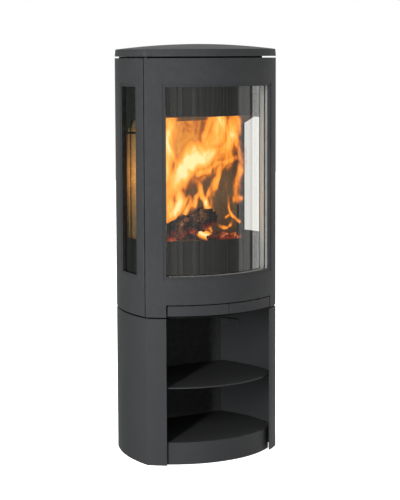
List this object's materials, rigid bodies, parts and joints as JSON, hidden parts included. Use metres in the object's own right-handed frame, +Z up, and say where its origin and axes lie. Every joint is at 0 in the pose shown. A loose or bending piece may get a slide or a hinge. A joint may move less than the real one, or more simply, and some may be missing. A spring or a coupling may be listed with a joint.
{
  "type": "wood burning stove",
  "caption": "Upright stove with a bowed glass door, side windows, domed top and rear flue collar, on an open pedestal with a shelf.",
  "frame": {"origin": "on the floor, under the middle of the stove's overall box, flue collar included", "axes": "+Z up, the door faces -Y, the flue collar points along +Y, +X is the right side seen from the front"},
  "size_m": [0.4536, 0.3856, 1.2122],
  "materials": {
    "paint": "matte heat-proof charcoal paint",
    "dark_steel": "matte black heat-proof coating on sheet steel",
    "bare_steel": "plain steel",
    "glass": "clear heat-resistant ceramic glass",
    "rope": "woven glass-fibre seal rope",
    "brick": "pressed vermiculite firebrick",
    "iron": "rough cast iron",
    "charred_wood": "split firewood, charred"
  },
  "bodies": {
    "stove": {"air_seat": "dark_steel", "ash_chamber": "dark_steel", "ash_pan": "dark_steel", "ash_shelf": "dark_steel", "back_brick": "brick", "back_panel": "paint", "baffle": "brick", "base_plate": "dark_steel", "cover_plate": "dark_steel", "firebox_back": "dark_steel", "firebox_front": "dark_steel", "firebox_side_left": "dark_steel", "firebox_side_right": "dark_steel", "flue_collar": "iron", "foot_back_left": "dark_steel", "foot_back_right": "dark_steel", "foot_front_left": "dark_steel", "foot_front_right": "dark_steel", "glass_retainer_left": "dark_steel", "glass_retainer_right": "dark_steel", "grate": "iron", "hearth": "brick", "joint_ring": "dark_steel", "log_lower": "charred_wood", "log_upper": "charred_wood", "lower_hinge_bracket": "dark_steel", "lower_hinge_pin": "bare_steel", "neck_ring": "dark_steel", "pedestal_back_panel": "paint", "pedestal_floor": "dark_steel", "pedestal_top_plate": "dark_steel", "pedestal_wall_left": "paint", "pedestal_wall_right": "paint", "plinth": "paint", "shelf": "dark_steel", "shelf_bracket_left": "paint", "shelf_bracket_right": "paint", "side_glass_left": "glass", "side_glass_right": "glass", "side_panel_left": "paint", "side_panel_right": "paint", "striker": "bare_steel", "top_plate": "paint", "upper_hinge_bracket": "dark_steel", "upper_hinge_pin": "bare_steel", "upper_lug_left": "paint", "upper_lug_right": "paint", "window_surround_left": "dark_steel", "window_surround_right": "dark_steel"},
    "door": {"door_frame": "paint", "door_glass": "glass", "glass_rope": "rope", "door_liner": "bare_steel", "door_rope": "rope"},
    "handle": {"handle_strip": "paint", "latch_arm": "bare_steel", "latch_shaft": "bare_steel"},
    "air_control": {"air_strip": "paint", "air_rod": "bare_steel", "air_plate": "bare_steel"}
  },
  "joints": [
    {"name": "door_hinge", "type": "hinge", "parent": "stove", "child": "door", "pos_m": [-0.21703, -0.09851, 0.8], "axis": [0, 0, -1], "range_deg": [0, 110]},
    {"name": "handle_pivot", "type": "hinge", "parent": "door", "child": "handle", "pos_m": [0.14291, -0.14696, 0.45], "axis": [0, 0, 1], "range_deg": [0, 35]},
    {"name": "air_slide", "type": "slide", "parent": "stove", "child": "air_control", "axis": [0, -1, 0], "range_m": [0, 0.02]}
  ]
}
